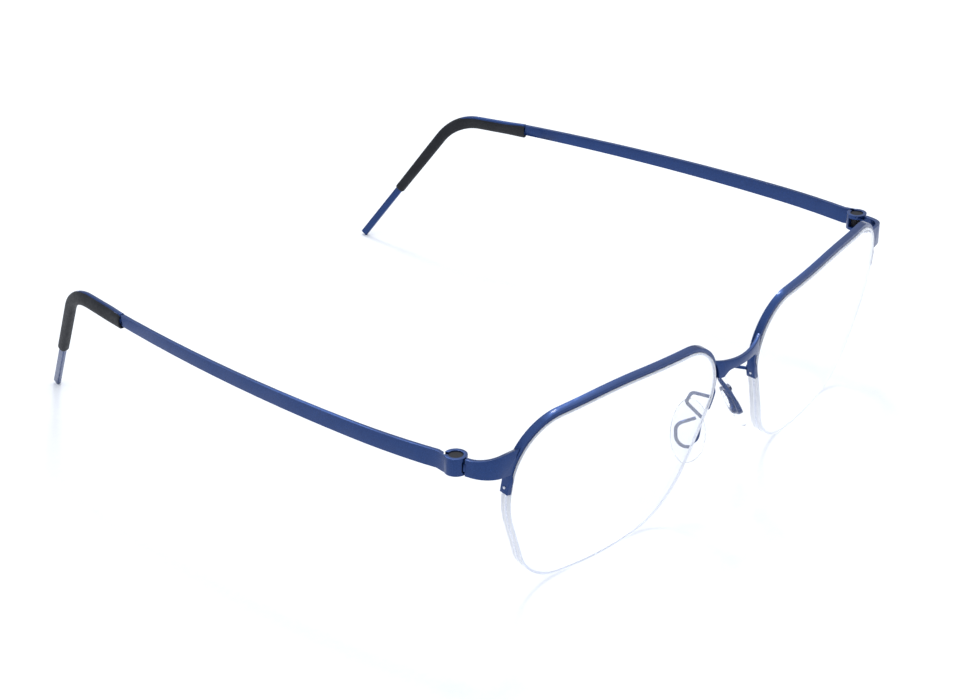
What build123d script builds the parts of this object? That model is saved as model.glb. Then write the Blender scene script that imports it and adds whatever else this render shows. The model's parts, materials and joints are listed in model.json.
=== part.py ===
"""Half rim eyeglasses: metal brow bars over cord-held lenses, with screwless rolled hinges.

Millimetres.  +X is the wearer's left, +Y runs back along the temples, +Z is up.  The origin is on
the surface the glasses stand on, under the middle of their bounding box.  Every paired piece is
drawn once for the wearer's left side (+X) and mirrored about the YZ plane.
"""
from build123d import *
from math import cos, radians, sin, sqrt
import os

os.makedirs("parts", exist_ok=True)

# ---------------------------------------------------------------- driving dimensions
HINGE_X = 67.0                  # hinge axis from the middle plane
HINGE_Y = -52.4                 # hinge axes, measured from the middle of the glasses' depth

# lens: outline polygon in the lens plane (u outward, v up) and the radius at each corner
LENS_CENTRE = (34.5, HINGE_Y - 11.6, 18.06)
LENS_WRAP = 6.85                # the outer end of the front is swept back
LENS_TILT = 8.3                 # pantoscopic tilt, top forward
LENS_BASE_RADIUS = 216.0
LENS_THICKNESS = 2.25
LENS_CORNERS = [
    ((-27.9, 16.9), 9.9),       # top nasal
    ((1.9, 18.9), 100.0),       # top
    ((25.9, 17.6), 11.0),       # top temporal
    ((27.1, 1.9), 17.5),        # widest, temporal
    ((19.2, -17.1), 13.0),      # bottom temporal
    ((0.8, -18.6), 70.0),       # bottom
    ((-17.0, -17.15), 16.0),    # bottom nasal
    ((-26.9, 5.0), 7.0),        # widest, nasal
]

# brow bar: a band along the top of each lens, set back a little from its front
BAR_GAP = 0.05                  # clear of the lens edge
BAR_HEIGHT = 0.8                # across the band, in the lens plane
BAR_FRONT, BAR_REAR = -0.4, -1.75
NASAL_END_V = 2.4               # the band stops here on the nasal side
TEMPORAL_END_V = 5.6            # and here on the temporal side
TAB_FRONT, TAB_REAR = -0.1, -1.9
TAB_LENGTH = 5.0                # the band is deeper over this length at each end

# groove round the lens edge, the liner and the cord that sit in it
GROOVE_WIDTH = 0.56
GROOVE_DEPTH = 0.5
LINER_REACH = 0.35              # the bar's own groove, outside the lens edge
CORD_SIZE = 0.46
SEAT_CLEARANCE = 0.03
CORD_TUCK = 2.2                 # length of cord held inside each end of the bar

# hinge: the temple's front end is rolled into a barrel round a bush
BARREL_RADIUS = 2.05
BARREL_WALL = 0.7
BARREL_BOTTOM = 28.5
STRIP_TOP = 31.85
HINGE_FIT = 0.05
WINDOW_BOTTOM, WINDOW_TOP = 29.15, 31.05
WINDOW_FROM, WINDOW_TO = 158.0, 292.0       # angles about the axis, from +X
ROLL_GAP_FROM, ROLL_GAP_TO = 50.0, 78.0
TONGUE_CLEARANCE = 0.15
EYE_RADIUS = 0.55

# temple
STRIP_THICKNESS = 0.75
STRIP_END_BOTTOM = 29.65
BOW_X, BOW_Y = 69.0, 22.0       # widest point of the temple, behind the hinge
BOW_ROOT = (67.75, 3.4)
SLEEVE_Y = 86.0                 # the strip enters the sleeve
BOW_RADIUS_BACK = 350.0
CORE_WIDTH, CORE_THICKNESS = 1.6, 0.95
BEND = (59.8, 101.1, 30.35)     # corner of the ear bend
TIP = (49.05, 119.9, 0.49)
BEND_RADIUS = 11.0
SLEEVE_HEIGHT, SLEEVE_THICKNESS = 2.7, 1.9
SLEEVE_DROP = 22.5              # length of sleeve below the bend corner

# end piece between the brow bar and the hinge
END_PLATE = 0.9
END_CORNER = (66.35, -6.3)
END_INNER = (59.0, -7.75)
END_ROUND = 4.8

# bridge
BRIDGE_THICKNESS = 0.8
BRIDGE_FRONT_Y = -15.3          # middle of the sheet at the centre of the bridge
BRIDGE_SIDE_Y = -13.95          # and where it meets the bars
BRIDGE_SIDE_X = 7.0
BRIDGE_TOP, BRIDGE_BOTTOM = 29.7, 28.0

# nose pads
PAD_CENTRE = (8.2, -8.4, 14.9)
PAD_SPLAY = 42.0                # turned out towards the back
PAD_LEAN = 25.0                 # tops closer together
PAD_WIDTH, PAD_HEIGHT = 7.8, 12.8
PAD_NOSE_SIDE, PAD_BACK_SIDE = 1.7, 0.7     # thickness on each side of the loop
WIRE_RADIUS = 0.33

NODES = []


# ---------------------------------------------------------------- helpers
def at_hinge(x, y, z=0.0):
    """A point given by its distance behind the hinge axes."""
    return (x, HINGE_Y + y, z)


def lens_plane():
    """Plane of the left lens: x outward, y up along the lens, z out of its front."""
    wrap, tilt = radians(LENS_WRAP), radians(LENS_TILT)
    outward = Vector(cos(wrap), sin(wrap), 0)
    level_front = Vector(sin(wrap), -cos(wrap), 0)
    upward = Vector(0, 0, 1) * cos(tilt) + level_front * sin(tilt)
    return Plane(origin=LENS_CENTRE, x_dir=outward, z_dir=outward.cross(upward))


LENS_PLANE = lens_plane()
LENS_SPHERE = LENS_PLANE.from_local_coords(Vector(0, 0, -LENS_BASE_RADIUS))


def grown_corner(before, corner, after, grow):
    """The corner of a clockwise outline whose sides have all moved outward."""
    side_in = (Vector(*corner) - Vector(*before)).normalized()
    side_out = (Vector(*after) - Vector(*corner)).normalized()
    out_1, out_2 = Vector(-side_in.Y, side_in.X), Vector(-side_out.Y, side_out.X)
    moved = Vector(*corner) + (out_1 + out_2) * (grow / (1 + out_1.dot(out_2)))
    return moved.X, moved.Y


def lens_region(grow=0.0):
    """The lens outline as a face, grown or shrunk all round."""
    points = [point for point, radius in LENS_CORNERS]
    neighbours = zip(points[-1:] + points[:-1], points, points[1:] + points[:1])
    corners = [grown_corner(*three, grow) for three in neighbours]
    with BuildSketch(LENS_PLANE) as region:
        with BuildLine():
            FilletPolyline(*corners, radius=[radius + grow for point, radius in LENS_CORNERS], close=True)
        make_face()
    return region.sketch


def keep_layer(front, rear):
    """Keep what lies between two curved surfaces at these heights over the lens plane."""
    with Locations(LENS_SPHERE):
        Sphere(LENS_BASE_RADIUS + front, mode=Mode.INTERSECT)
        Sphere(LENS_BASE_RADIUS + rear, mode=Mode.SUBTRACT)


def lens_band(inner, outer, front, rear):
    """A curved band that follows the lens edge, between two offsets and two depths."""
    with BuildPart() as band:
        extrude(lens_region(outer), amount=10, both=True)
        extrude(lens_region(inner), amount=10, both=True, mode=Mode.SUBTRACT)
        keep_layer(front, rear)
    return band.part


def below_bar(raise_by=0.0):
    """Everything below the two ends of the brow bar, moved up by raise_by."""
    reach = 40
    slope = (TEMPORAL_END_V - NASAL_END_V) / 55.5
    nasal = NASAL_END_V + raise_by - slope * (reach - 27.7)
    temporal = TEMPORAL_END_V + raise_by + slope * (reach - 27.7)
    with BuildPart() as block:
        with BuildSketch(LENS_PLANE):
            with BuildLine():
                Polyline((-reach, nasal), (reach, temporal), (reach, -reach), (-reach, -reach), close=True)
            make_face()
        extrude(amount=12, both=True)
    return block.part


def finish(node, part):
    """Name a finished piece and write its file."""
    part.label = node
    export_step(part, f"parts/{node}.step")
    NODES.append(node)


def finish_pair(name, left):
    """Write a left-hand piece and its mirror image for the right-hand side."""
    finish(f"{name}_left", left)
    with BuildPart() as right:
        mirror(left, about=Plane.YZ)
    finish(f"{name}_right", right.part)


# ---------------------------------------------------------------- front: lens, bar, liner, cord
MID_EDGE = -LENS_THICKNESS / 2
GROOVE_FRONT = MID_EDGE + GROOVE_WIDTH / 2
GROOVE_REAR = MID_EDGE - GROOVE_WIDTH / 2
BAR_OUTER = BAR_GAP + BAR_HEIGHT
# the two ends of the bar: side, lens edge there, height of the end
BAR_ENDS = ((-1, 26.35, NASAL_END_V), (1, 26.9, TEMPORAL_END_V))


def edge_sag(edge_u, height):
    """How far the lens front lies behind the lens plane at this point."""
    return (edge_u ** 2 + height ** 2) / (2 * LENS_BASE_RADIUS)


def cord_hole(side, edge_u, end_v, radius, start, end):
    """A round peg across one end of the bar, from start to end outside the lens edge."""
    height = end_v + 1.15
    middle = MID_EDGE - edge_sag(edge_u, height)
    origin = LENS_PLANE.from_local_coords(Vector(side * (edge_u + start), height, middle))
    with BuildPart() as peg:
        with BuildSketch(Plane(origin=origin, z_dir=LENS_PLANE.x_dir * side)):
            Circle(radius)
        extrude(amount=end - start)
    return peg.part


def end_wedge(side, edge_u, end_v):
    """The space at one end of the bar where the band is deeper, tapering upward."""
    apex_v = end_v + TAB_LENGTH
    apex_n = MID_EDGE - edge_sag(edge_u, end_v)
    section = Plane(origin=LENS_PLANE.origin, x_dir=LENS_PLANE.y_dir, z_dir=LENS_PLANE.x_dir)
    with BuildPart() as wedge:
        with BuildSketch(section.offset(side * edge_u)):
            with BuildLine():
                Polyline((apex_v, apex_n), (apex_v - 20, apex_n + 9), (apex_v - 20, apex_n - 9), close=True)
            make_face()
        extrude(amount=6, both=True)
    return wedge.part


def make_lens():
    with BuildPart() as lens:
        extrude(lens_region(), amount=10, both=True)
        keep_layer(0, -LENS_THICKNESS)
        add(lens_band(-GROOVE_DEPTH, 1, GROOVE_FRONT, GROOVE_REAR), mode=Mode.SUBTRACT)
    return lens.part


def make_tab(end):
    """The deeper stretch of the bar at one end."""
    with BuildPart() as tab:
        add(lens_band(BAR_GAP, BAR_OUTER, TAB_FRONT, TAB_REAR))
        add(end_wedge(*end), mode=Mode.INTERSECT)
    return tab.part


def make_brow_bar():
    tabs = [make_tab(end) for end in BAR_ENDS]
    with BuildPart() as bar:
        add(lens_band(BAR_GAP, BAR_OUTER, BAR_FRONT, BAR_REAR))
        add(tabs)
        add(below_bar(), mode=Mode.SUBTRACT)
        add(lens_band(-1, LINER_REACH, GROOVE_FRONT, GROOVE_REAR), mode=Mode.SUBTRACT)
        for end in BAR_ENDS:
            add(cord_hole(*end, CORD_SIZE / 2 + SEAT_CLEARANCE, -0.4, 2.5), mode=Mode.SUBTRACT)
    return bar.part


def make_liner():
    inner = -GROOVE_DEPTH + SEAT_CLEARANCE
    with BuildPart() as liner:
        add(lens_band(inner, LINER_REACH - SEAT_CLEARANCE,
                      GROOVE_FRONT - SEAT_CLEARANCE, GROOVE_REAR + SEAT_CLEARANCE))
        add(below_bar(CORD_TUCK + 0.3), mode=Mode.SUBTRACT)
    return liner.part


def make_cord():
    inner = -GROOVE_DEPTH + SEAT_CLEARANCE
    half = CORD_SIZE / 2
    with BuildPart() as cord:
        add(lens_band(inner, inner + CORD_SIZE, MID_EDGE + half, MID_EDGE - half))
        add(below_bar(CORD_TUCK), mode=Mode.INTERSECT)
        for end in BAR_ENDS:
            add(cord_hole(*end, half, -0.4, BAR_OUTER))
    return cord.part


brow_bar = make_brow_bar()
finish_pair("lens", make_lens())
finish_pair("brow_bar", brow_bar)
finish_pair("rim_liner", make_liner())
finish_pair("retainer_cord", make_cord())


# ---------------------------------------------------------------- bridge
def make_bridge():
    """A sheet arched forward in plan, flared where it meets the bars."""
    flare_top, flare_bottom = 31.3, 26.9
    rise = BRIDGE_SIDE_Y - BRIDGE_FRONT_Y
    half = BRIDGE_SIDE_X + 2.4
    end_y = BRIDGE_FRONT_Y + rise * (half / BRIDGE_SIDE_X) ** 2
    with BuildPart() as bridge:
        with BuildSketch(Plane.XY.offset(20)):
            with BuildLine() as arch:
                ThreePointArc(at_hinge(-half, end_y), at_hinge(0, BRIDGE_FRONT_Y), at_hinge(half, end_y))
            trace(arch.line, BRIDGE_THICKNESS)
        extrude(amount=20)
        with BuildSketch(Plane.XZ.offset(-HINGE_Y)):
            with BuildLine():
                ThreePointArc((-half, flare_top), (0, BRIDGE_TOP), (half, flare_top))
                lower = [(half, flare_bottom), (5.6, flare_bottom), (4.4, BRIDGE_BOTTOM),
                         (-4.4, BRIDGE_BOTTOM), (-5.6, flare_bottom), (-half, flare_bottom)]
                FilletPolyline(*lower, radius=[0.3, 2.0, 2.0, 0.3])
                Line((half, flare_top), (half, flare_bottom))
                Line((-half, flare_top), (-half, flare_bottom))
            make_face()
        extrude(amount=40, both=True, mode=Mode.INTERSECT)
        cut = lens_region(BAR_OUTER)
        extrude(cut, amount=10, both=True, mode=Mode.SUBTRACT)
        extrude(mirror(cut, about=Plane.YZ, mode=Mode.PRIVATE), amount=10, both=True, mode=Mode.SUBTRACT)
    return bridge.part


finish("bridge", make_bridge())


# ---------------------------------------------------------------- hinge and end piece
def make_end_piece():
    """A vertical plate from the bar back to the hinge, with a tongue and eye in the barrel."""
    with BuildPart() as piece:
        with BuildSketch(Plane.XY.offset(BARREL_BOTTOM - 2)):
            with BuildLine() as run:
                start = at_hinge(HINGE_X, -BARREL_RADIUS - TONGUE_CLEARANCE)
                FilletPolyline(start, at_hinge(*END_CORNER), at_hinge(*END_INNER), radius=END_ROUND)
            trace(run.line, END_PLATE)
        extrude(amount=8)
        with BuildSketch(Plane.YZ.offset(HINGE_X)):
            with BuildLine():
                front, middle, back = HINGE_Y - 9, HINGE_Y - 5, HINGE_Y
                Spline((back, STRIP_TOP), (middle, STRIP_TOP - 0.05), (front, STRIP_TOP + 1.0))
                Line((front, STRIP_TOP + 1.0), (front, BARREL_BOTTOM - 0.7))
                Spline((front, BARREL_BOTTOM - 0.7), (middle, BARREL_BOTTOM - 0.2), (back, BARREL_BOTTOM))
                Line((back, BARREL_BOTTOM), (back, STRIP_TOP))
            make_face()
        extrude(amount=30, both=True, mode=Mode.INTERSECT)
        extrude(lens_region(BAR_OUTER), amount=10, both=True, mode=Mode.SUBTRACT)
        tongue_bottom = WINDOW_BOTTOM + TONGUE_CLEARANCE
        tongue_height = WINDOW_TOP - WINDOW_BOTTOM - 2 * TONGUE_CLEARANCE
        tongue_reach = BARREL_RADIUS + TONGUE_CLEARANCE + 0.3
        with BuildSketch(Plane.XY.offset(tongue_bottom)):
            with Locations(at_hinge(HINGE_X, -tongue_reach / 2)):
                Rectangle(END_PLATE, tongue_reach)
        extrude(amount=tongue_height)
        with BuildSketch(Plane.XY.offset(BARREL_BOTTOM + 0.3)):
            with Locations(at_hinge(HINGE_X, 0)):
                Circle(EYE_RADIUS)
        extrude(amount=STRIP_TOP - BARREL_BOTTOM - 0.6)
    return piece.part


def make_bush(end_piece):
    """Plastic bush moulded round the end piece's tongue; the barrel turns on it."""
    with BuildPart() as bush:
        with BuildSketch(Plane.XY.offset(BARREL_BOTTOM + 0.2)):
            with Locations(at_hinge(HINGE_X, 0)):
                Circle(BARREL_RADIUS - BARREL_WALL - HINGE_FIT)
        extrude(amount=STRIP_TOP - BARREL_BOTTOM - 0.4)
        add(end_piece, mode=Mode.SUBTRACT)
    return bush.part


end_piece = make_end_piece()
finish_pair("end_piece", end_piece)
finish_pair("hinge_bush", make_bush(end_piece))


# ---------------------------------------------------------------- temple and its sleeve
def back_x(y):
    """Middle of the strip behind its widest point."""
    return BOW_X - (BOW_RADIUS_BACK - sqrt(BOW_RADIUS_BACK ** 2 - (y - BOW_Y) ** 2))


def hook_plane():
    """Plane of the ear bend: origin at its corner, x back along the strip, y upward."""
    start = Vector(at_hinge(back_x(SLEEVE_Y - 2), SLEEVE_Y - 2, BEND[2]))
    corner = Vector(at_hinge(*BEND))
    tip = Vector(at_hinge(*TIP))
    along = (corner - start).normalized()
    normal = along.cross(tip - corner).normalized() * -1
    return Plane(origin=corner, x_dir=along, z_dir=normal), (start - corner).length


HOOK_PLANE, HOOK_LEAD = hook_plane()


def hook_path(drop):
    """Strip's middle line round the ear bend, for this length below the corner."""
    tip = HOOK_PLANE.to_local_coords(Vector(at_hinge(*TIP)))
    down = tip.normalized() * drop
    with BuildLine(HOOK_PLANE) as path:
        FilletPolyline((-HOOK_LEAD, 0), (0, 0), (down.X, down.Y), radius=BEND_RADIUS)
    return path.line


def hook_bar(drop, height, thickness, round_by):
    """A bar of rounded rectangular section along the hook."""
    path = hook_path(drop)
    section = Plane(origin=path @ 0, x_dir=HOOK_PLANE.z_dir, z_dir=path % 0)
    with BuildPart() as bar:
        with BuildSketch(section):
            RectangleRounded(thickness, height, round_by)
        sweep(path=path)
    return bar.part


def make_temple():
    tip_length = (Vector(at_hinge(*TIP)) - Vector(at_hinge(*BEND))).length
    ring_middle = BARREL_RADIUS - BARREL_WALL / 2
    with BuildPart() as temple:
        with BuildSketch(Plane.XY.offset(BARREL_BOTTOM)):
            with Locations(at_hinge(HINGE_X, 0)):
                Circle(BARREL_RADIUS)
            with BuildLine() as strip:
                leave = radians(ROLL_GAP_FROM - 8)
                start = at_hinge(HINGE_X + ring_middle * cos(leave), ring_middle * sin(leave))
                root = at_hinge(*BOW_ROOT)
                Line(start, root)
                ThreePointArc(root, at_hinge(68.62, 11.5), at_hinge(BOW_X, BOW_Y))
                middle_y = (BOW_Y + SLEEVE_Y) / 2
                ThreePointArc(at_hinge(BOW_X, BOW_Y), at_hinge(back_x(middle_y), middle_y),
                              at_hinge(back_x(SLEEVE_Y), SLEEVE_Y))
            trace(strip.line, STRIP_THICKNESS)
            with Locations(at_hinge(HINGE_X, 0)):
                Circle(BARREL_RADIUS - BARREL_WALL, mode=Mode.SUBTRACT)
            with BuildLine():
                from_edge, to_edge = radians(ROLL_GAP_FROM), radians(ROLL_GAP_TO)
                inside = BARREL_RADIUS - BARREL_WALL - 0.4
                outside = BARREL_RADIUS + 0.05
                Polyline(at_hinge(HINGE_X + inside * cos(from_edge), inside * sin(from_edge)),
                         at_hinge(HINGE_X + outside * cos(from_edge), outside * sin(from_edge)),
                         at_hinge(HINGE_X, 2.6),
                         at_hinge(HINGE_X + outside * cos(to_edge), outside * sin(to_edge)),
                         at_hinge(HINGE_X + inside * cos(to_edge), inside * sin(to_edge)),
                         close=True)
            make_face(mode=Mode.SUBTRACT)
        extrude(amount=STRIP_TOP - BARREL_BOTTOM)
        with BuildSketch(Plane.YZ.offset(HINGE_X)):
            with BuildLine():
                taper_from, taper_to = HINGE_Y + 6, HINGE_Y + SLEEVE_Y + 1
                Polyline((taper_from, BARREL_BOTTOM), (taper_to, STRIP_END_BOTTOM),
                         (taper_to, BARREL_BOTTOM - 1), (taper_from, BARREL_BOTTOM - 1), close=True)
            make_face()
        extrude(amount=20, both=True, mode=Mode.SUBTRACT)
        with BuildSketch(Plane.XY.offset(WINDOW_BOTTOM)):
            with BuildLine():
                window_from, window_to = radians(WINDOW_FROM), radians(WINDOW_TO)
                reach = 2 * BARREL_RADIUS
                middle = (window_from + window_to) / 2
                Polyline(at_hinge(HINGE_X, 0),
                         at_hinge(HINGE_X + reach * cos(window_from), reach * sin(window_from)),
                         at_hinge(HINGE_X + 2 * reach * cos(middle), 2 * reach * sin(middle)),
                         at_hinge(HINGE_X + reach * cos(window_to), reach * sin(window_to)),
                         close=True)
            make_face()
        extrude(amount=WINDOW_TOP - WINDOW_BOTTOM, mode=Mode.SUBTRACT)
        add(hook_bar(tip_length, CORE_WIDTH, CORE_THICKNESS, 0.3))
    return temple.part


def make_sleeve(temple):
    with BuildPart() as sleeve:
        add(hook_bar(SLEEVE_DROP, SLEEVE_HEIGHT, SLEEVE_THICKNESS, 0.8))
        add(temple, mode=Mode.SUBTRACT)
    return sleeve.part


temple = make_temple()
finish_pair("temple", temple)
finish_pair("temple_sleeve", make_sleeve(temple))


# ---------------------------------------------------------------- nose pads
def pad_plane():
    """Plane of the left pad's loop: x back, y up along the pad, z away from the nose."""
    splay, lean = radians(PAD_SPLAY), radians(PAD_LEAN)
    backward = Vector(sin(splay), cos(splay), 0)
    level_nose = Vector(-cos(splay), sin(splay), 0)
    upward = Vector(0, 0, 1) * cos(lean) + level_nose * sin(lean)
    return Plane(origin=at_hinge(*PAD_CENTRE), x_dir=backward, z_dir=backward.cross(upward))


PAD_PLANE = pad_plane()
# the loop in the pad's plane: (back, up) from the pad's middle, and the bend at each point
PAD_LOOP = [
    ((-3.0, 1.7), 1.0),
    ((-2.1, -2.7), 1.9),
    ((2.9, -2.6), 2.1),
    ((2.8, 1.6), 1.6),
]
LOOP_END = (-0.9, 2.7)


def in_pad(back, up):
    """A point in the pad's middle plane."""
    return PAD_PLANE.from_local_coords(Vector(back, up, 0))


def make_pad_arm():
    """Wire from the rear of the bar's nasal end, back, down and round a loop inside the pad."""
    weld = Vector(at_hinge(6.95, -11.9, 22.95))
    knee = Vector(at_hinge(6.6, -7.2, 22.3))
    turn = Vector(at_hinge(6.4, -5.9, 19.7))
    corners = [weld, knee, turn] + [in_pad(*point) for point, radius in PAD_LOOP] + [in_pad(*LOOP_END)]
    with BuildLine() as run:
        FilletPolyline(*corners, radius=[1.5, 0.8] + [radius for point, radius in PAD_LOOP])
    with BuildPart() as arm:
        with BuildSketch(Plane(origin=run.line @ 0, z_dir=run.line % 0)):
            Circle(WIRE_RADIUS)
        sweep(path=run.line)
        add(brow_bar, mode=Mode.SUBTRACT)
    return arm.part


def make_nose_pad(arm):
    """A soft oval pad moulded round the arm's loop."""
    with BuildPart() as pad:
        with BuildSketch(PAD_PLANE.offset(-PAD_NOSE_SIDE)):
            Ellipse(PAD_WIDTH / 2, PAD_HEIGHT / 2)
        extrude(amount=PAD_NOSE_SIDE + PAD_BACK_SIDE)
        fillet(pad.edges(), 1.0)
        add(arm, mode=Mode.SUBTRACT)
    return pad.part


pad_arm = make_pad_arm()
finish_pair("pad_arm", pad_arm)
finish_pair("nose_pad", make_nose_pad(pad_arm))

print(len(NODES), "pieces:", ", ".join(sorted(NODES)))
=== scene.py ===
"""Looks of the half rim eyeglasses: clear lenses, satin blue metal, soft sleeves and silicone pads.

Metres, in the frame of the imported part: +X is the wearer's left, +Y runs back along the temples
and +Z is up.  The glasses stand on the floor at Z = 0.
"""

import json
from math import acos, cos, pi, radians, sin, tan

import bmesh
import bpy
from mathutils import Matrix, Vector


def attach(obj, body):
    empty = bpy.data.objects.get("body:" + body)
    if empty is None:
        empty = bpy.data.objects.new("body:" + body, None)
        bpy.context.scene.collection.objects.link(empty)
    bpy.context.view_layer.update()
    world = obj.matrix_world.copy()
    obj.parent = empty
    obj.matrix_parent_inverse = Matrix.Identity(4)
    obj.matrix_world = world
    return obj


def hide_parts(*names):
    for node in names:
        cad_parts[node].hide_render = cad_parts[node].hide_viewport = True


MM = 0.001
SIDES = (("left", 1), ("right", -1))

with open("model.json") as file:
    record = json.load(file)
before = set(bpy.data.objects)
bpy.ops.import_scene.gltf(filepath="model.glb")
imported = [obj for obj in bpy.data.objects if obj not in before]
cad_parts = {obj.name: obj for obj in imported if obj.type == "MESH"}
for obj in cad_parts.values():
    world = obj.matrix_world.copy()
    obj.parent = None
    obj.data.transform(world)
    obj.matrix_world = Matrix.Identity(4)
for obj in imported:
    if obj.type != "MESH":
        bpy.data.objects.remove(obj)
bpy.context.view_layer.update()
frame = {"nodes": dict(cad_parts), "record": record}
NODES = frame["nodes"]
BODIES = frame["record"]["behaviour"]["bodies"]
BODY_OF = {node: body for body, nodes in BODIES.items() for node in nodes}

# ---------------------------------------------------------------- shapes, in millimetres
HINGE_Y = -52.4
LENS_WRAP, LENS_TILT = 6.85, 8.3

# the ear bend: start of the sleeve, corner and tip of the strip, on the left side
SLEEVE_START = (63.46, HINGE_Y + 84.0, 30.35)
BEND = (59.8, HINGE_Y + 101.1, 30.35)
TIP = (49.05, HINGE_Y + 119.9, 0.49)
BEND_RADIUS = 11.0
SLEEVE_DROP = 22.5              # sleeve below the bend's corner

# nose pad: middle, turn towards the back, lean towards the nose
PAD_CENTRE = (8.2, HINGE_Y - 8.4, 14.9)
PAD_SPLAY, PAD_LEAN = 42.0, 25.0
PAD_HALF_WIDTH, PAD_HALF_HEIGHT = 3.9, 6.4

# camera
CAMERA_TARGET = (0.0, -7.86, 12.0)
CAMERA_AZIMUTH, CAMERA_ELEVATION, CAMERA_ROLL = -52.33, 26.34, 0.457
CAMERA_DISTANCE = 513.4
CAMERA_LENS = 93.03             # focal length
SENSOR_WIDTH = 36.0

# easing of the metal's sharp edges: radius of each node, then what counts as flat and as an edge
EASED_PAIRS = (("brow_bar", 0.16), ("end_piece", 0.14), ("temple", 0.14))
BRIDGE_EASE = 0.18
EASE_SEGMENTS = 3
WELD_DISTANCE = 0.002
FLAT_ANGLE, EDGE_ANGLE = 0.4, 35

# materials
NOISE_RANGE = (0.3, 0.7)        # where nearly all of a noise lies
EDGE_TO_FACE = (0.5, 0.8)       # cosine to the lens axis: the edge is below, the face above
EDGE_ROUGHNESS = 0.55
EDGE_CLARITY = 0.3

# floor and light, in metres
FLOOR_HALF = 2.5
SKY = [(0.0, (0.12, 0.14, 0.20)), (0.30, (0.40, 0.44, 0.54)), (0.75, (0.94, 0.97, 1.0))]
SKY_STRENGTH = 1.34
SOFTBOX_AT, SOFTBOX_AIM = (0.42, 0.33, 0.80), (0, 0, 0.01)
SOFTBOX_SIZE, SOFTBOX_POWER, SOFTBOX_COLOUR = 0.14, 1.9, (1.0, 0.985, 0.96)


# ---------------------------------------------------------------- materials
def new_material(name, **constants):
    """A Principled material with these sockets set as constants."""
    material = bpy.data.materials.new(name)
    material.use_nodes = True
    shader = material.node_tree.nodes["Principled BSDF"]
    for socket, value in constants.items():
        shader.inputs[socket.replace("_", " ")].default_value = value
    return material, material.node_tree, shader


def noise(tree, scale, detail=3.0):
    """Object-space noise; scale is in features per metre."""
    coordinates = tree.nodes.new("ShaderNodeTexCoord")
    texture = tree.nodes.new("ShaderNodeTexNoise")
    texture.inputs["Scale"].default_value = scale
    texture.inputs["Detail"].default_value = detail
    tree.links.new(coordinates.outputs["Object"], texture.inputs["Vector"])
    return texture.outputs["Fac"]


def ramp(tree, value, stops):
    """Colours along a value: stops are (position, colour)."""
    node = tree.nodes.new("ShaderNodeValToRGB")
    elements = node.color_ramp.elements
    while len(elements) < len(stops):
        elements.new(0.5)
    for element, (position, colour) in zip(elements, stops):
        element.position = position
        element.color = (*colour, 1.0)
    tree.links.new(value, node.inputs["Fac"])
    return node.outputs["Color"]


def map_range(tree, value, source, target):
    """A value carried from the source range to the target range and held inside it."""
    node = tree.nodes.new("ShaderNodeMapRange")
    node.inputs["From Min"].default_value, node.inputs["From Max"].default_value = source
    node.inputs["To Min"].default_value, node.inputs["To Max"].default_value = target
    tree.links.new(value, node.inputs["Value"])
    return node.outputs["Result"]


def spread(tree, value, low, high):
    """Noise stretched over the range from low to high."""
    return map_range(tree, value, NOISE_RANGE, (low, high))


def add_bump(tree, shader, height, strength, depth):
    """Surface relief of this depth in millimetres."""
    bump = tree.nodes.new("ShaderNodeBump")
    bump.inputs["Strength"].default_value = strength
    bump.inputs["Distance"].default_value = depth * MM
    tree.links.new(height, bump.inputs["Height"])
    tree.links.new(bump.outputs["Normal"], shader.inputs["Normal"])


def metal_paint():
    """Satin blue metallic lacquer: fine flake, slow drift of colour, slight orange peel."""
    material, tree, shader = new_material(
        "satin_blue_lacquer", Metallic=0.85, Coat_Weight=0.35, Coat_Roughness=0.12)
    flake = noise(tree, 5200, detail=2.0)
    colour = ramp(tree, flake, [(0.32, (0.008, 0.034, 0.135)), (0.52, (0.010, 0.040, 0.155)),
                                (0.72, (0.015, 0.050, 0.185))])
    tree.links.new(colour, shader.inputs["Base Color"])
    tree.links.new(spread(tree, noise(tree, 900), 0.30, 0.42), shader.inputs["Roughness"])
    add_bump(tree, shader, noise(tree, 2600, detail=4.0), 0.25, 0.012)
    return material


def edge_mask(tree, side):
    """0 on the lens's polished faces and 1 on its edge, by the angle to the lens axis."""
    wrap, tilt = radians(LENS_WRAP), radians(LENS_TILT)
    axis = (side * sin(wrap) * cos(tilt), -cos(wrap) * cos(tilt), -sin(tilt))
    geometry = tree.nodes.new("ShaderNodeNewGeometry")
    turn = tree.nodes.new("ShaderNodeVectorMath")
    turn.operation = "DOT_PRODUCT"
    turn.inputs[1].default_value = axis
    size = tree.nodes.new("ShaderNodeMath")
    size.operation = "ABSOLUTE"
    tree.links.new(geometry.outputs["Normal"], turn.inputs[0])
    tree.links.new(turn.outputs["Value"], size.inputs[0])
    return map_range(tree, size.outputs["Value"], EDGE_TO_FACE, (1.0, 0.0))


def lens_glass(side):
    """Polished clear lens with a pale blue coating and a frosted, faintly lavender edge."""
    material, tree, shader = new_material(f"lens_glass_{side}", IOR=1.56)
    mask = edge_mask(tree, side)
    body = ramp(tree, noise(tree, 60, detail=1.0),
                [(0.3, (0.965, 0.975, 1.0)), (0.7, (0.985, 0.990, 1.0))])
    mix = tree.nodes.new("ShaderNodeMix")
    mix.data_type = "RGBA"
    mix.inputs["B"].default_value = (0.96, 0.97, 1.0, 1.0)
    tree.links.new(mask, mix.inputs["Factor"])
    tree.links.new(body, mix.inputs["A"])
    tree.links.new(mix.outputs["Result"], shader.inputs["Base Color"])
    for socket, target in (("Roughness", (0.0, EDGE_ROUGHNESS)),
                           ("Transmission Weight", (1.0, EDGE_CLARITY))):
        tree.links.new(map_range(tree, mask, (0.0, 1.0), target), shader.inputs[socket])
    return material


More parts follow.
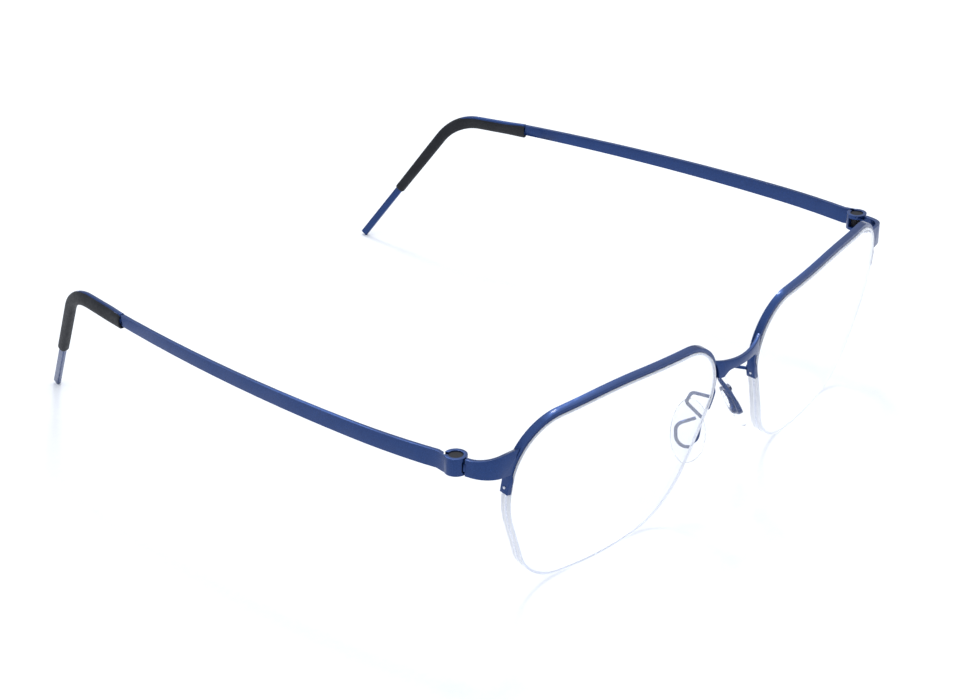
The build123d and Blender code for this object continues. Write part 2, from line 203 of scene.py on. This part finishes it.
def nylon():
    """Clear drawn nylon, faintly streaked along its length."""
    material, tree, shader = new_material("clear_nylon_line", Transmission_Weight=0.15, IOR=1.5)
    colour = ramp(tree, noise(tree, 1800), [(0.3, (0.84, 0.87, 0.98)), (0.7, (0.92, 0.94, 1.0))])
    tree.links.new(colour, shader.inputs["Base Color"])
    tree.links.new(spread(tree, noise(tree, 3000), 0.15, 0.32), shader.inputs["Roughness"])
    return material


def black_plastic():
    """Black low-friction plastic with a fine turned grain."""
    material, tree, shader = new_material("black_bush_plastic", Specular_IOR_Level=0.2)
    grain = noise(tree, 4200, detail=4.0)
    tree.links.new(ramp(tree, grain, [(0.3, (0.004, 0.004, 0.006)), (0.7, (0.012, 0.012, 0.016))]),
                   shader.inputs["Base Color"])
    tree.links.new(spread(tree, grain, 0.38, 0.6), shader.inputs["Roughness"])
    add_bump(tree, shader, grain, 0.5, 0.03)
    return material


def sleeve_rubber():
    """Matt charcoal rubber with a fine moulded grain and lightly rubbed patches."""
    material, tree, shader = new_material(
        "charcoal_sleeve_rubber", Sheen_Weight=0.04, Sheen_Roughness=0.45, Specular_IOR_Level=0.3)
    patches = noise(tree, 220, detail=4.0)
    colour = ramp(tree, patches, [(0.3, (0.005, 0.006, 0.009)), (0.55, (0.009, 0.010, 0.013)),
                                  (0.75, (0.015, 0.016, 0.020))])
    tree.links.new(colour, shader.inputs["Base Color"])
    tree.links.new(spread(tree, noise(tree, 1500), 0.50, 0.66), shader.inputs["Roughness"])
    add_bump(tree, shader, noise(tree, 5200, detail=3.0), 0.35, 0.02)
    return material


def silicone():
    """Clear soft silicone, slightly milky, with a faint moulded texture."""
    material, tree, shader = new_material("clear_pad_silicone", Transmission_Weight=0.95, IOR=1.16)
    colour = ramp(tree, noise(tree, 320), [(0.3, (0.965, 0.972, 0.995)), (0.7, (0.99, 0.992, 1.0))])
    tree.links.new(colour, shader.inputs["Base Color"])
    tree.links.new(spread(tree, noise(tree, 1200), 0.02, 0.10), shader.inputs["Roughness"])
    return material


def floor_paper():
    """Seamless white studio paper with a barely visible tooth."""
    material, tree, shader = new_material("studio_paper", Roughness=0.85)
    tooth = noise(tree, 900, detail=2.0)
    tree.links.new(ramp(tree, tooth, [(0.3, (0.90, 0.905, 0.92)), (0.7, (0.92, 0.925, 0.94))]),
                   shader.inputs["Base Color"])
    return material


PAINT = metal_paint()
NYLON = nylon()
BUSH = black_plastic()
SLEEVE = sleeve_rubber()
SILICONE = silicone()


# ---------------------------------------------------------------- mesh helpers
def place(name, mesh, body, slot, material, *replaced):
    """Link a finished mesh that stands for CAD nodes and rides on a body."""
    piece = bpy.data.objects.new(name, mesh)
    bpy.context.scene.collection.objects.link(piece)
    mesh.materials.append(material)
    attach(piece, body)
    if replaced:
        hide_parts(*replaced)
    return piece


def eased(node, radius):
    """The CAD shape with its sharp edges eased to this radius in millimetres."""
    mesh = NODES[node].data.copy()
    mesh.materials.clear()
    grid = bmesh.new()
    grid.from_mesh(mesh)
    bmesh.ops.remove_doubles(grid, verts=grid.verts, dist=WELD_DISTANCE * MM)
    bmesh.ops.dissolve_limit(grid, angle_limit=radians(FLAT_ANGLE), verts=grid.verts,
                             edges=grid.edges)
    for face in grid.faces:
        face.smooth = True
    grid.to_mesh(mesh)
    grid.free()
    piece = place(f"{node}_eased", mesh, BODY_OF[node], "frame_paint", PAINT, node)
    bevel = piece.modifiers.new("eased_edges", "BEVEL")
    bevel.width = radius * MM
    bevel.segments = EASE_SEGMENTS
    bevel.limit_method = "ANGLE"
    bevel.angle_limit = radians(EDGE_ANGLE)
    bevel.harden_normals = True
    bevel.use_clamp_overlap = True


def loft(rings):
    """A closed mesh through rings of points, each with the same number of points."""
    grid = bmesh.new()
    levels = [[grid.verts.new(point) for point in ring] for ring in rings]
    count = len(levels[0])
    for lower, upper in zip(levels, levels[1:]):
        for i in range(count):
            j = (i + 1) % count
            grid.faces.new((lower[i], lower[j], upper[j], upper[i]))
    grid.faces.new(list(reversed(levels[0])))
    grid.faces.new(levels[-1])
    bmesh.ops.recalc_face_normals(grid, faces=grid.faces)
    for face in grid.faces:
        face.smooth = True
    mesh = bpy.data.meshes.new("loft")
    grid.to_mesh(mesh)
    grid.free()
    return mesh


def mirrored(points, side):
    """Points in millimetres for one side, in metres."""
    return [Vector((side * p[0], p[1], p[2])) * MM for p in points]


# ---------------------------------------------------------------- sleeves
# sizes along the sleeve: (share of its length, value)
SLEEVE_HEIGHTS = [(0, 3.0), (0.3, 2.95), (0.62, 2.4), (1, 2.15)]
SLEEVE_THICKNESSES = [(0, 1.75), (0.12, 1.5), (0.3, 1.45), (0.62, 1.9), (1, 2.05)]
SLEEVE_LEANS = [(0, radians(-14)), (0.12, radians(-24)), (0.3, radians(-24)), (0.6, 0.0), (1, 0.0)]
SLEEVE_STEPS = 72
SQUARENESS = 2.6                # exponent of the section's rounded rectangle

# rings of the sleeve's mouth, open round the strip, and of its lower end: (growth, shift along)
SLEEVE_MOUTH = 1.6
SLEEVE_WALL = 0.35
MOUTH_RINGS = [(-SLEEVE_WALL - 0.05, SLEEVE_MOUTH), (-SLEEVE_WALL, 0.12), (-0.16, 0.0),
               (-0.05, 0.02), (0.0, 0.12)]
END_RINGS = [(0.0, -0.35), (-0.08, -0.12), (-0.25, -0.02), (-0.42, 0.0)]

# metal band along the top of the sleeve
BAND_STATIONS = 30
BAND_END = 0.42
BAND_HEIGHT, BAND_THICKNESS = 0.7, 1.0
BAND_PROUD = 0.16
BAND_POINTS = 20


def hook_frames():
    """Stations along the sleeve.

    Each is (share of the length, middle, direction, in-plane normal, plane normal).
    """
    start, corner, tip = Vector(SLEEVE_START), Vector(BEND), Vector(TIP)
    along = (corner - start).normalized()
    down = (tip - corner).normalized()
    bend = acos(along.dot(down))
    trim = BEND_RADIUS * tan(bend / 2)
    plane_normal = down.cross(along).normalized()
    lead = (corner - start).length - trim
    arc = BEND_RADIUS * bend
    drop = SLEEVE_DROP - trim
    inward = plane_normal.cross(along)
    if inward.dot(down) < 0:
        inward = -inward
    centre = corner - along * trim + inward * BEND_RADIUS
    stations = []
    total = lead + arc + drop
    for i in range(SLEEVE_STEPS + 1):
        s = total * i / SLEEVE_STEPS
        if s < lead:
            middle, direction = start + along * s, along
        elif s < lead + arc:
            turn = (s - lead) / BEND_RADIUS
            direction = along * cos(turn) + inward * sin(turn)
            middle = centre - (inward * cos(turn) - along * sin(turn)) * BEND_RADIUS
        else:
            middle, direction = corner + down * (trim + s - lead - arc), down
        stations.append((s / total, middle, direction, plane_normal.cross(direction), plane_normal))
    return stations


def blend_value(t, stops):
    """Smooth value between stops of (place, value)."""
    for (t0, v0), (t1, v1) in zip(stops, stops[1:]):
        if t <= t1:
            k = max(0.0, (t - t0) / (t1 - t0))
            k = k * k * (3 - 2 * k)
            return v0 + (v1 - v0) * k
    return stops[-1][1]


def section(middle, tall_axis, thin_axis, height, thickness, lean, points=40):
    """A rounded-rectangle ring of points about a middle."""
    turned_tall = tall_axis * cos(lean) + thin_axis * sin(lean)
    turned_thin = thin_axis * cos(lean) - tall_axis * sin(lean)
    ring = []
    for i in range(points):
        angle = 2 * pi * i / points
        c, s = cos(angle), sin(angle)
        reach = (abs(c) ** SQUARENESS + abs(s) ** SQUARENESS) ** (-1 / SQUARENESS)
        ring.append(middle + turned_tall * (s * reach * height / 2)
                    + turned_thin * (c * reach * thickness / 2))
    return ring


def make_sleeve(name, side):
    """The soft sleeve over the ear bend, with a lipped mouth and a rounded end."""
    def ring(station, grow, shift=0.0):
        t, middle, direction, tall, thin = station
        return section(middle + direction * shift, tall, thin,
                       blend_value(t, SLEEVE_HEIGHTS) + 2 * grow,
                       blend_value(t, SLEEVE_THICKNESSES) + 2 * grow,
                       blend_value(t, SLEEVE_LEANS))

    first, *between, last = hook_frames()
    rings = [ring(first, grow, shift) for grow, shift in MOUTH_RINGS]
    rings += [ring(station, 0.0) for station in between]
    rings += [ring(last, grow, shift) for grow, shift in END_RINGS]
    mesh = loft([mirrored(points, side) for points in rings])
    place(f"sleeve_{name}", mesh, f"temple_arm_{name}", "sleeve_rubber", SLEEVE,
          f"temple_sleeve_{name}")


def make_core_band(name, side):
    """The metal core that shows along the top of the sleeve, from its mouth to the bend."""
    rings = []
    for t, middle, direction, tall, thin in hook_frames()[:BAND_STATIONS]:
        lean = blend_value(t, SLEEVE_LEANS)
        rise = (blend_value(t, SLEEVE_HEIGHTS) / 2 - BAND_HEIGHT / 2
                + BAND_PROUD * (1 - t / BAND_END))
        centre = middle + (tall * cos(lean) + thin * sin(lean)) * rise
        rings.append(section(centre, tall, thin, BAND_HEIGHT, BAND_THICKNESS, lean, BAND_POINTS))
    mesh = loft([mirrored(points, side) for points in rings])
    place(f"core_band_{name}", mesh, f"temple_arm_{name}", "frame_paint", PAINT)


# ---------------------------------------------------------------- nose pads
# pad from its nose side to its back: (share of the outline, height)
PAD_PROFILE = [(0.12, 0.66), (0.60, 0.66), (0.84, 0.60), (0.95, 0.38), (1.0, 0.0), (0.99, -0.40),
               (0.94, -0.80), (0.82, -1.18), (0.62, -1.46), (0.34, -1.62), (0.12, -1.66)]
PAD_POINTS = 64
PAD_TAPER = 0.13                # narrower at the top than at the bottom


def make_pad(name, side):
    """A soft drop-shaped pad, crowned towards the nose, with a rolled rim."""
    splay, lean = radians(PAD_SPLAY), radians(PAD_LEAN)
    backward = Vector((sin(splay), cos(splay), 0))
    level_nose = Vector((-cos(splay), sin(splay), 0))
    upward = Vector((0, 0, 1)) * cos(lean) + level_nose * sin(lean)
    outward = backward.cross(upward)
    centre = Vector(PAD_CENTRE)
    rings = []
    for reach, height in PAD_PROFILE:
        ring = []
        for i in range(PAD_POINTS):
            angle = 2 * pi * i / PAD_POINTS
            c, s = cos(angle), sin(angle)
            width = PAD_HALF_WIDTH * (1.0 - PAD_TAPER * s)
            ring.append(centre + backward * (c * reach * width)
                        + upward * (s * reach * PAD_HALF_HEIGHT) + outward * height)
        rings.append(ring)
    mesh = loft([mirrored(points, side) for points in rings])
    piece = place(f"soft_pad_{name}", mesh, "front", "pad_silicone", SILICONE,
                  f"nose_pad_{name}")
    smooth = piece.modifiers.new("smooth", "SUBSURF")
    smooth.levels = smooth.render_levels = 1
    return piece


for name, side in SIDES:
    NODES[f"lens_{name}"].material_slots[0].material = lens_glass(side)
    for node in ("rim_liner", "retainer_cord"):
        NODES[f"{node}_{name}"].material_slots[0].material = NYLON
    NODES[f"hinge_bush_{name}"].material_slots[0].material = BUSH
    NODES[f"pad_arm_{name}"].material_slots[0].material = PAINT
    for node, radius in EASED_PAIRS:
        eased(f"{node}_{name}", radius)
    make_sleeve(name, side)
    make_core_band(name, side)
    pad = make_pad(name, side)
    # clear pieces let the soft light through to the floor
    for clear_piece in (pad, NODES[f"lens_{name}"]):
        clear_piece.visible_diffuse = False
        clear_piece.visible_shadow = False
eased("bridge", BRIDGE_EASE)


# ---------------------------------------------------------------- floor, light and camera
def make_floor():
    """A wide sheet of paper at Z = 0."""
    mesh = bpy.data.meshes.new("floor")
    corners = [(x * FLOOR_HALF, y * FLOOR_HALF, 0) for x, y in ((-1, -1), (1, -1), (1, 1), (-1, 1))]
    mesh.from_pydata(corners, [], [(0, 1, 2, 3)])
    mesh.materials.append(floor_paper())
    floor = bpy.data.objects.new("floor", mesh)
    bpy.context.scene.collection.objects.link(floor)


def make_light():
    """A pale sky, darker towards the horizon, and one softbox behind the glasses."""
    world = bpy.data.worlds.new("studio")
    world.use_nodes = True
    background = world.node_tree.nodes["Background"]
    tree = world.node_tree
    coordinates = tree.nodes.new("ShaderNodeTexCoord")
    height = tree.nodes.new("ShaderNodeSeparateXYZ")
    tree.links.new(coordinates.outputs["Generated"], height.inputs["Vector"])
    tree.links.new(ramp(tree, height.outputs["Z"], SKY), background.inputs["Color"])
    background.inputs["Strength"].default_value = SKY_STRENGTH
    bpy.context.scene.world = world

    light = bpy.data.lights.new("softbox_back", "AREA")
    light.shape = "RECTANGLE"
    light.size = light.size_y = SOFTBOX_SIZE
    light.energy = SOFTBOX_POWER
    light.color = SOFTBOX_COLOUR
    lamp = bpy.data.objects.new("softbox_back", light)
    lamp.location = SOFTBOX_AT
    aim = Vector(SOFTBOX_AIM) - Vector(SOFTBOX_AT)
    lamp.rotation_euler = aim.to_track_quat("-Z", "Y").to_euler()
    bpy.context.scene.collection.objects.link(lamp)


def make_camera():
    """The photograph's view."""
    azimuth, elevation, roll = map(radians, (CAMERA_AZIMUTH, CAMERA_ELEVATION, CAMERA_ROLL))
    back = Vector((sin(azimuth) * cos(elevation), -cos(azimuth) * cos(elevation), sin(elevation)))
    level_right = Vector((cos(azimuth), sin(azimuth), 0))
    level_up = back.cross(level_right)
    right = level_right * cos(roll) + level_up * sin(roll)
    up = level_up * cos(roll) - level_right * sin(roll)
    camera = bpy.data.cameras.new("camera")
    camera.lens = CAMERA_LENS
    camera.sensor_width = SENSOR_WIDTH
    camera.clip_start = 0.01
    holder = bpy.data.objects.new("camera", camera)
    turn = Matrix((right, up, back)).transposed().to_4x4()
    eye = (Vector(CAMERA_TARGET) + back * CAMERA_DISTANCE) * MM
    holder.matrix_world = Matrix.Translation(eye) @ turn
    bpy.context.scene.collection.objects.link(holder)
    bpy.context.scene.camera = holder


make_floor()
make_light()
make_camera()
bpy.context.scene.view_settings.view_transform = "Standard"
